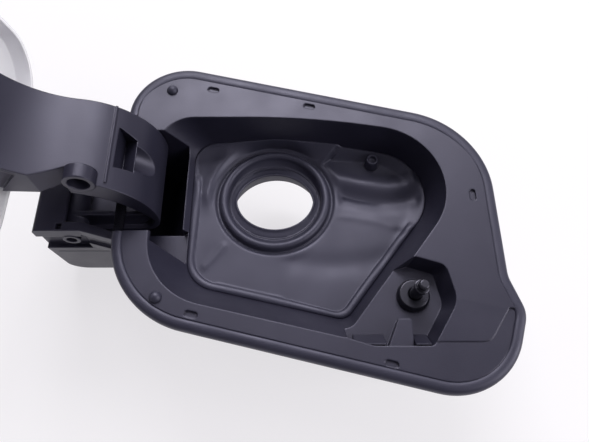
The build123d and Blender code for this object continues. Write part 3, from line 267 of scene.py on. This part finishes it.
# Rubber floor of the basin: free sheet, round bead, oval lip and the collar for the filler neck.
# Moulded in one soft piece about 2 mm thick and snapped over the seat of the basin, so the sheet is
# slightly wavy between the bead and the wall, and stands up along the far wall.
SHEET_TOP = 30.0
SHEET_UNDER = 28.0
SHEET_START = 35.6
SHEET_FREE = 40.0
SHEET_HELD = 5.0
SHEET_LEAST = 0.5
SHEET_PARTS = np.concatenate((np.linspace(0.0, 0.84, 26), np.linspace(0.85, 1.0, 22)))
SHEET_CORNERS = [(-48.5, -52.64, 18.0), (39.01, -72.86, 8.0), (109.79, 21.12, 28.0), (19.67, 36.0, 400.0),
                 (-48.5, 36.0, 12.0)]
CREST_AWAY = 29.85
CREST_HALF = 2.5
CREST_BASE = 29.8
CREST_HIGH = 2.6
CREST_TURNS = (8.0, 165.0, 16)
ROUND_COUNT = 336
EDGE_CLEAR = 0.02
FLOOR_SMOOTH = 50.0
LIP_EDGE = (26.7, 23.6)
LIP_HOLE = (22.4, 17.8)
HOLE_POINT = 0.5
EDGE_POINT = (-0.2, 0.8)
# Sections of the mouth, each a run of places: how far out from its own line, and height.
HOLE_RIM = [(0.0, 26.4), (0.05, 26.9), (0.2, 27.3), (0.5, 27.5), (0.85, 27.45), (1.1, 27.2), (1.3, 26.95)]
TONGUE_PARTS = (0.3, 0.65, 0.93)
TONGUE_FALL = 1.0
EDGE_STEP = [(-0.3, 26.0), (-0.1, 26.6), (0.0, 26.8), (0.25, 26.8), (0.32, 26.5)]
CONE_PARTS = (0.15, 0.3, 0.45, 0.6, 0.75, 0.88)
CONE_AWAY, CONE_FOOT, CONE_RISE, CONE_BOW = 27.3, 26.3, 3.6, 1.5
CREST_GROOVE = [(32.45, 29.6), (32.7, 29.0), (33.1, 28.7), (33.6, 28.65), (34.1, 28.9), (34.6, 29.35),
                (35.1, 29.75)]
COLLAR = [(35.4, SHEET_UNDER), (34.6, 27.3), (33.3, 26.7), (31.2, 26.6), (30.4, 26.0), (30.4, 18.0),
          (30.4, 8.0), (30.4, 0.5), (29.9, 0.0), (29.5, 0.0), (29.0, 0.5), (29.0, 8.0), (29.0, 18.0),
          (29.0, 24.0), (28.0, 24.2)]
HOLE_UNDER = [(1.6, 25.2), (0.4, 25.8), (0.0, 26.4)]
# The waves, creases and dents of the free sheet: height, width and the line that each follows.
SHEET_FORMS = [
    (2.2, 6.2, [(33.9, 14.9), (42.1, 12.8), (51.1, 10.2), (67.3, 6.6), (76.5, 8.1), (83.2, 11.8)]),
    (-1.9, 6.0, [(41.0, 2.5), (50.6, 0.0), (59.6, -1.5), (73.1, -0.5), (82.3, 1.5)]),
    (-0.7, 4.5, [(37.0, 18.5), (51.4, 16.5), (65.2, 16.5), (74.6, 19.5)]),
    (0.16, 2.0, [(36.0, -11.0), (45.6, -12.0), (58.7, -14.4), (71.6, -19.3)]),
    (0.5, 2.2, [(-28.5, -29.5), (-32.8, -35.3), (-38.4, -41.7)]),
    (-0.8, 6.5, [(12.0, -39.0), (23.0, -40.4), (35.8, -40.8), (52.9, -39.5), (64.2, -36.5)]),
    (-0.7, 2.5, [(71.0, -20.5), (73.5, -22.5)]),
    (2.3, 7.5, [(-37.0, 4.0), (-36.0, 11.0), (-32.5, 18.5), (-28.5, 24.5)]),
]
# The edge bead runs along this line, and the sheet's edge stands this high on the wall, by the angle
# about the collar; the last row is how wide the sheet curls up there, 0 for a straight slope.
BEAD_LINE = [(-48.5, 9.2), (-48.5, -35.0), (-42.0, -50.0), (-36.0, -55.5), (36.0, -72.0), (43.0, -67.5),
             (77.5, -21.5)]
BEAD_HIGH = 1.5
BEAD_WIDE = 4.8
BEAD_FADE = (1.5, 9.0)
EDGE_LEDGE = 0.8
LEDGE_SHARE = 0.3
EDGE_ANGLES = [-180.0, -30.0, -12.0, 8.0, 30.0, 39.0, 41.0, 60.0, 90.0, 115.0, 133.0, 144.0, 160.0, 172.0,
               180.0]
EDGE_RISES = [0.2, 0.2, 1.5, 3.0, 5.0, 5.6, 7.4, 7.8, 8.1, 6.4, 4.4, 2.7, 0.4, 0.2, 0.2]
EDGE_CURLS = [6.0, 6.0, 9.0, 10.0, 10.0, 10.0, 0.0, 0.0, 0.0, 0.0, 0.0, 0.0, 4.0, 6.0, 6.0]
CURL_LEAST, CURL_FULL = 0.1, 6.0
FAR_WALL_LEAN = 0.16
LEAN_FROM = 31.0
FAR_OFF = 1e9


def from_path(points, path):
    """Distance of each point from a line through the path's points."""
    nearest = np.full(len(points), FAR_OFF)
    for start, end in zip(np.array(path)[:-1], np.array(path)[1:]):
        run = end - start
        part = np.clip(((points - start) @ run) / (run @ run), 0.0, 1.0)
        nearest = np.minimum(nearest, np.linalg.norm(points - start - part[:, None] * run, axis=1))
    return nearest


def pointed_oval(wide, deep, point):
    """Distance of an oval from the collar's axis at each angle, its ends drawn part of the way to a lens."""
    round_oval = wide * deep / np.hypot(deep * np.cos(angles), wide * np.sin(angles))
    arc = (wide * wide + deep * deep) / (2.0 * deep)
    off = arc - deep
    lens_shape = np.sqrt(arc * arc - (off * np.cos(angles)) ** 2) - off * np.abs(np.sin(angles))
    return round_oval + (lens_shape - round_oval) * point


def on_ring(away, height):
    """Ring of places at a distance from the collar's axis and a height."""
    flat = ways * np.minimum(away, edge_away - EDGE_CLEAR)[:, None]
    return np.column_stack((flat, np.broadcast_to(height, angles.shape))) * MM


def sheet_ring(part):
    """Ring of the free sheet, part of the way from the round bead out to the wall."""
    start = np.minimum(SHEET_START, edge_away - SHEET_LEAST)
    away = start + (edge_away - start) * part
    points = ways * away[:, None]
    height = np.full(angles.shape, SHEET_TOP)
    free = eased(away, SHEET_START, SHEET_FREE) * eased(edge_away - away, 0.0, SHEET_HELD)
    for high, wide, path in SHEET_FORMS:
        height = height + free * high * np.exp(-(from_path(points, path) / wide) ** 2)
    left = edge_away - away
    curled = eased(-left, -np.maximum(edge_curl, CURL_LEAST), 0.0)
    run = edge_away - start
    sloped = np.clip((away - start) / (run - np.minimum(EDGE_LEDGE, run * LEDGE_SHARE)), 0.0, 1.0)
    height = height + edge_rise * (sloped + (curled - sloped) * eased(edge_curl, 0.0, CURL_FULL))
    bead = np.sqrt(np.clip(1.0 - ((left - BEAD_WIDE / 2) / (BEAD_WIDE / 2)) ** 2, 0.0, 1.0))
    height = height + beaded * BEAD_HIGH * bead
    places = np.column_stack((points, height))
    lean = FAR_WALL_LEAN * np.clip(height - LEAN_FROM, 0.0, None)
    places[:, 1] += np.where(angles > 0.0, lean, 0.0) * part
    return places * MM


edge_line = rounded_outline(SHEET_CORNERS, ROUND_COUNT)
angles = np.arctan2(edge_line[:, 1], edge_line[:, 0])
ways = np.stack((np.cos(angles), np.sin(angles)), axis=1)
edge_away = np.linalg.norm(edge_line, axis=1)
edge_rise = np.interp(np.degrees(angles), EDGE_ANGLES, EDGE_RISES)
edge_curl = np.interp(np.degrees(angles), EDGE_ANGLES, EDGE_CURLS)
beaded = 1.0 - eased(from_path(edge_line, BEAD_LINE), *BEAD_FADE)
hole = pointed_oval(*LIP_HOLE, HOLE_POINT)
line = pointed_oval(*LIP_EDGE, eased(np.cos(angles), *EDGE_POINT))
rim_out, rim_high = HOLE_RIM[-1]
step_out = EDGE_STEP[-1][0]
rings = [on_ring(hole + out, high) for out, high in HOLE_RIM]
rings += [on_ring(hole + rim_out + (line - hole - rim_out) * part, rim_high - TONGUE_FALL * part)
          for part in TONGUE_PARTS]
rings += [on_ring(line + out, high) for out, high in EDGE_STEP]
rings += [on_ring(line + step_out + (CONE_AWAY - line - step_out) * part, CONE_FOOT + CONE_RISE * part ** CONE_BOW)
          for part in CONE_PARTS]
rings += [on_ring(CREST_AWAY - CREST_HALF * cos(turn), CREST_BASE + CREST_HIGH * sin(turn))
          for turn in np.radians(np.linspace(*CREST_TURNS))]
rings += [on_ring(away, high) for away, high in CREST_GROOVE]
rings += [sheet_ring(part) for part in SHEET_PARTS]
rings += [on_ring(edge_away, SHEET_UNDER + 1.0), on_ring(edge_away, SHEET_UNDER)]
rings += [on_ring(away, high) for away, high in COLLAR]
rings += [on_ring(hole + out, high) for out, high in HOLE_UNDER]

bpy.ops.object.select_all(action="DESELECT")
bpy.ops.mesh.primitive_circle_add(vertices=ROUND_COUNT, radius=LIP_HOLE[0] * MM)
rubber_floor = bpy.context.object
rubber_floor.name = "rubber_floor"
for vertex, place in zip(rubber_floor.data.vertices, rings[0]):
    vertex.co = place
pull_rings(rubber_floor, rings)
bpy.ops.mesh.select_all(action="SELECT")
bpy.ops.mesh.remove_doubles(threshold=MERGE_GAP)
bpy.ops.mesh.normals_make_consistent(inside=False)
bpy.ops.object.mode_set(mode="OBJECT")
bpy.ops.object.shade_smooth_by_angle(angle=radians(FLOOR_SMOOTH))
rubber_floor.data.materials.append(rubber_black)
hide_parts("neck_seal")
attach(rubber_floor, "housing_body")

# Drain nipple on the rubber floor, at the far corner.
# A short hollow stub of the same rubber, moulded on, with a rounded rim.
NIPPLE_PLACE = (0.0577, 0.0235, 0.0332)
NIPPLE_RADIUS = 0.0043
NIPPLE_HIGH = 0.0074
NIPPLE_TOP_SHARE = 0.8
NIPPLE_SIDES = 48
NIPPLE_WALL = 0.0012
NIPPLE_STEP = 0.0002
NIPPLE_DEEP = 0.0022
NIPPLE_ROUND = 0.0004
NIPPLE_SMOOTH = 40.0
bpy.ops.object.select_all(action="DESELECT")
bpy.ops.mesh.primitive_cylinder_add(vertices=NIPPLE_SIDES, radius=NIPPLE_RADIUS, depth=NIPPLE_HIGH,
                                    location=NIPPLE_PLACE)
drain_nipple = bpy.context.object
drain_nipple.name = "drain_nipple"
bpy.ops.object.transform_apply(location=True, rotation=True, scale=True)
bpy.ops.object.mode_set(mode="EDIT")
bpy.ops.mesh.select_all(action="DESELECT")
bpy.ops.mesh.select_mode(type="FACE")
shell = bmesh.from_edit_mesh(drain_nipple.data)
for face in shell.faces:
    face.select = face.normal.z > 0.9
bmesh.update_edit_mesh(drain_nipple.data)
bpy.ops.transform.resize(value=(NIPPLE_TOP_SHARE, NIPPLE_TOP_SHARE, 1.0))
bpy.ops.mesh.inset(thickness=NIPPLE_WALL)
bpy.ops.mesh.inset(thickness=NIPPLE_STEP)
bpy.ops.transform.translate(value=(0.0, 0.0, -NIPPLE_DEEP))
bpy.ops.object.mode_set(mode="OBJECT")
bpy.ops.object.modifier_add(type="BEVEL")
bevel = drain_nipple.modifiers[-1]
bevel.width = NIPPLE_ROUND
bevel.segments = 3
bpy.ops.object.modifier_apply(modifier=bevel.name)
bpy.ops.object.shade_smooth_by_angle(angle=radians(NIPPLE_SMOOTH))
drain_nipple.data.materials.append(rubber_black)
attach(drain_nipple, "housing_body")

# Near wall of the lock shelf, either side of the tongue.
# Part of the housing's moulding: the wall leans in from the flange down to the shelf.
WALL_RUNS = [("shelf_wall_left", 0.0405, 0.0560), ("shelf_wall_right", 0.0700, 0.0775)]
WALL_TOP = (-0.0908, 0.0548)
WALL_FOOT = (-0.0832, 0.0441)
WALL_TOP_WIDE = 0.0004
WALL_ROUND = 0.00018
for name, start_x, end_x in WALL_RUNS:
    bpy.ops.object.select_all(action="DESELECT")
    middle = ((start_x + end_x) / 2, (WALL_TOP[0] + WALL_FOOT[0]) / 2, (WALL_TOP[1] + WALL_FOOT[1]) / 2)
    bpy.ops.mesh.primitive_cube_add(size=1.0, location=middle)
    wall = bpy.context.object
    wall.name = name
    wall.scale = (end_x - start_x, WALL_FOOT[0] - WALL_TOP[0], WALL_TOP[1] - WALL_FOOT[1])
    bpy.ops.object.transform_apply(location=True, rotation=True, scale=True)
    bpy.ops.object.mode_set(mode="EDIT")
    bpy.ops.mesh.select_all(action="DESELECT")
    bpy.ops.mesh.select_mode(type="EDGE")
    shell = bmesh.from_edit_mesh(wall.data)
    for edge in shell.edges:
        edge.select_set(all(v.co.y > middle[1] and v.co.z > middle[2] for v in edge.verts))
    bmesh.update_edit_mesh(wall.data)
    bpy.ops.transform.translate(value=(0.0, WALL_TOP[0] - WALL_FOOT[0] + WALL_TOP_WIDE, 0.0))
    bpy.ops.object.mode_set(mode="OBJECT")
    bpy.ops.object.modifier_add(type="BEVEL")
    bevel = wall.modifiers[-1]
    bevel.width = WALL_ROUND
    bevel.segments = 2
    bpy.ops.object.modifier_apply(modifier=bevel.name)
    wall.data.materials.append(moulded_black)
    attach(wall, "housing_body")

# Lock unit under the shelf: case, cover, grommet and the pin that travels, with the striker on the door.
# Dark grey moulded case, cover and striker, glossy dark pin, rubber grommet pressed in round the pin.
GREY_DARK = (0.060, 0.060, 0.068, 1.0)
GREY_DULL = (0.080, 0.080, 0.088, 1.0)
GREY_ROUGH = (0.42, 0.55)
GREY_GRAIN = 0.00004
GROMMET_DARK = (0.006, 0.006, 0.009, 1.0)
GROMMET_DULL = (0.010, 0.010, 0.014, 1.0)
GROMMET_ROUGH = (0.26, 0.36)
PIN_DARK = (0.008, 0.008, 0.011, 1.0)
PIN_DULL = (0.012, 0.012, 0.016, 1.0)
PIN_ROUGH = (0.14, 0.20)
FAINT_GRAIN = 0.00001
moulded_dark_grey = moulded("moulded_dark_grey", GREY_DARK, GREY_DULL, GREY_ROUGH, GREY_GRAIN)
finish_nodes(moulded_dark_grey, "lock_case", "lock_cover", "striker")
grommet_rubber = moulded("grommet_rubber", GROMMET_DARK, GROMMET_DULL, GROMMET_ROUGH, FAINT_GRAIN)
finish_nodes(grommet_rubber, "lock_grommet")
pin_plastic = moulded("pin_plastic", PIN_DARK, PIN_DULL, PIN_ROUGH, FAINT_GRAIN)
finish_nodes(pin_plastic, "lock_pin")

# Steel parts: hinge pin, clip, hinge spring and screws, zinc plated.
# Turned, bent or cold headed, then plated, so the grey is cloudy and the sheen uneven.
ZINC_DARK = (0.50, 0.50, 0.53, 1.0)
ZINC_PALE = (0.66, 0.66, 0.68, 1.0)
ZINC_ROUGH = (0.26, 0.42)
ZINC_TONE_SCALE, ZINC_SHEEN_SCALE, ZINC_DETAIL = 260.0, 420.0, 5.0
ZINC_EDGE_RADIUS = 0.0003
ZINC_GRAIN_SCALE = 2600.0


def plated(name):
    """Zinc plated steel."""
    material, tree, shader = start_material(name)
    shader.inputs["Metallic"].default_value = 1.0
    tone = ramp(tree, noise_of(tree, ZINC_TONE_SCALE, ZINC_DETAIL), ZINC_DARK, ZINC_PALE)
    tree.links.new(tone, shader.inputs["Base Color"])
    sheen = spread(tree, noise_of(tree, ZINC_SHEEN_SCALE, ZINC_DETAIL), *ZINC_ROUGH)
    tree.links.new(sheen, shader.inputs["Roughness"])
    grained(tree, shader, ZINC_EDGE_RADIUS, ZINC_GRAIN_SCALE, FAINT_GRAIN)
    return material


steel = plated("steel")
screws = [name for name in nodes if "screw" in name]
finish_nodes(steel, "hinge_pin", "pin_clip", "hinge_spring", *screws)

# Return spring below the lock pin.
# Coiled from zinc plated steel wire. It stands on the floor of its chamber and shortens as the pin is
# pushed in.
SPRING_RADIUS = 0.00365
SPRING_WIRE = 0.00045
SPRING_TURNS = 6
SPRING_PITCH = 0.00285
SPRING_LEAN = 6.0
SPRING_FOOT = (0.0680, -0.0635, 0.00024)
SPRING_WIRE_SIDES = 12
SPRING_STEPS = 36
SPRING_SMOOTH = 50.0
bpy.ops.object.select_all(action="DESELECT")
bpy.ops.mesh.primitive_circle_add(vertices=SPRING_WIRE_SIDES, radius=SPRING_WIRE,
                                  location=(SPRING_RADIUS, 0.0, SPRING_WIRE),
                                  rotation=(radians(90.0), 0.0, 0.0))
return_spring = bpy.context.object
return_spring.name = "return_spring"
bpy.ops.object.transform_apply(location=True, rotation=True, scale=True)
bpy.ops.object.modifier_add(type="SCREW")
coil = return_spring.modifiers[-1]
coil.screw_offset = SPRING_PITCH
coil.iterations = SPRING_TURNS
coil.steps = SPRING_STEPS
coil.render_steps = SPRING_STEPS
bpy.ops.object.modifier_apply(modifier=coil.name)
return_spring.rotation_euler = (0.0, radians(SPRING_LEAN), 0.0)
return_spring.location = SPRING_FOOT
bpy.ops.object.transform_apply(location=True, rotation=True, scale=True)
bpy.ops.object.mode_set(mode="EDIT")
bpy.ops.mesh.select_all(action="SELECT")
bpy.ops.mesh.remove_doubles(threshold=MERGE_GAP)
bpy.ops.mesh.fill_holes(sides=0)
bpy.ops.mesh.select_all(action="SELECT")
bpy.ops.mesh.normals_make_consistent(inside=False)
bpy.ops.object.mode_set(mode="OBJECT")
bpy.ops.object.shade_smooth_by_angle(angle=radians(SPRING_SMOOTH))
return_spring.data.materials.append(steel)
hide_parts("pin_spring")
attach(return_spring, "housing_body")
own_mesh(return_spring)

# Gooseneck arm with its two bushes.
# The arm is moulded in the same black plastic as the housing; the bushes are pale bearing plastic.
BEARING_DARK = (0.80, 0.78, 0.72, 1.0)
BEARING_PALE = (0.84, 0.82, 0.77, 1.0)
BEARING_ROUGH = (0.35, 0.45)
finish_nodes(moulded_black, "hinge_arm")
bearing_plastic = moulded("bearing_plastic", BEARING_DARK, BEARING_PALE, BEARING_ROUGH, FAINT_GRAIN)
finish_nodes(bearing_plastic, "hinge_bush_near", "hinge_bush_far")

# Outer door with its rubber buffers.
# Moulded panel, painted pale over the whole of it; the buffers are black rubber.
PAINT_DARK = (0.825, 0.815, 0.845, 1.0)
PAINT_PALE = (0.835, 0.825, 0.855, 1.0)
PAINT_ROUGH = (0.24, 0.27)
door_paint = moulded("door_paint", PAINT_DARK, PAINT_PALE, PAINT_ROUGH, FAINT_GRAIN)
finish_nodes(door_paint, "door_panel")
finish_nodes(rubber_black, "door_buffer_1", "door_buffer_2")

# Floor, lamps and camera.
# A plain pale table, a broad strong lamp behind, one from the right, two weak ones above and weak light
# from all round.
FLOOR_Z = -0.0181
FLOOR_SIZE = 8.0
FLOOR_LOW, FLOOR_HIGH = (0.84, 0.82, 0.85, 1.0), (0.87, 0.85, 0.88, 1.0)
FLOOR_SCALE, FLOOR_DETAIL = 9.0, 4.0
FLOOR_ROUGH = 0.7
FLOOR_GLOW = (0.98, 0.96, 0.99, 1.0)
GLOW_SHARE = 0.7
WORLD_COLOUR = (0.97, 0.95, 1.0, 1.0)
WORLD_STRENGTH = 0.22
# Lamps: name, place, aim, width, height and power.
LAMPS = [
    ("lamp_back", (-0.06, 1.08, 1.15), (0.0, 0.0, 0.04), 1.0, 0.7, 22.0),
    ("lamp_top", (0.02, 0.40, 1.60), (0.0, 0.0, 0.04), 0.5, 0.35, 1.8),
    ("lamp_side", (0.75, 0.75, 1.20), (0.0, 0.0, 0.04), 0.9, 0.8, 3.0),
    ("lamp_right", (1.25, -0.35, 0.75), (0.0, 0.0, 0.10), 0.9, 0.9, 13.0),
]
CAMERA_PLACE = (0.0115, -0.15056, 0.32312)
CAMERA_TILT = 25.0
CAMERA_LENS = 34.23
CAMERA_SENSOR = 36.0
CAMERA_NEAR = 0.01
bpy.ops.object.select_all(action="DESELECT")
bpy.ops.mesh.primitive_plane_add(size=FLOOR_SIZE, location=(0.0, 0.0, FLOOR_Z))
floor = bpy.context.object
floor.name = "floor"
material, tree, shader = start_material("floor_pale")
tone = ramp(tree, noise_of(tree, FLOOR_SCALE, FLOOR_DETAIL), FLOOR_LOW, FLOOR_HIGH)
tree.links.new(tone, shader.inputs["Base Color"])
shader.inputs["Roughness"].default_value = FLOOR_ROUGH
rays = tree.nodes.new("ShaderNodeLightPath")
seen = rays.outputs["Is Camera Ray"]
for kind in ("Is Glossy Ray", "Is Transmission Ray"):
    either = tree.nodes.new("ShaderNodeMath")
    either.operation = "MAXIMUM"
    tree.links.new(seen, either.inputs[0])
    tree.links.new(rays.outputs[kind], either.inputs[1])
    seen = either.outputs["Value"]
share = tree.nodes.new("ShaderNodeMath")
share.operation = "MULTIPLY"
share.inputs[1].default_value = GLOW_SHARE
tree.links.new(seen, share.inputs[0])
glow = add_node(tree, "ShaderNodeEmission", Color=FLOOR_GLOW, Strength=1.0)
mixed = tree.nodes.new("ShaderNodeMixShader")
tree.links.new(share.outputs["Value"], mixed.inputs[0])
tree.links.new(shader.outputs["BSDF"], mixed.inputs[1])
tree.links.new(glow.outputs["Emission"], mixed.inputs[2])
tree.links.new(mixed.outputs["Shader"], tree.nodes["Material Output"].inputs["Surface"])
floor.data.materials.append(material)

world = bpy.data.worlds.new("studio")
world.use_nodes = True
world.node_tree.nodes["Background"].inputs["Color"].default_value = WORLD_COLOUR
world.node_tree.nodes["Background"].inputs["Strength"].default_value = WORLD_STRENGTH
bpy.context.scene.world = world
for name, place, aim, wide, high, power in LAMPS:
    data = bpy.data.lights.new(name, "AREA")
    data.shape = "RECTANGLE"
    data.size = wide
    data.size_y = high
    data.energy = power
    lamp = bpy.data.objects.new(name, data)
    bpy.context.scene.collection.objects.link(lamp)
    lamp.location = place
    lamp.rotation_euler = (Vector(aim) - Vector(place)).to_track_quat("-Z", "Y").to_euler()

lens = bpy.data.cameras.new("camera")
lens.lens = CAMERA_LENS
lens.sensor_width = CAMERA_SENSOR
lens.clip_start = CAMERA_NEAR
camera = bpy.data.objects.new("camera", lens)
bpy.context.scene.collection.objects.link(camera)
camera.location = CAMERA_PLACE
camera.rotation_euler = (radians(CAMERA_TILT), 0.0, 0.0)
bpy.context.scene.camera = camera
bpy.context.scene.view_settings.view_transform = "Standard"
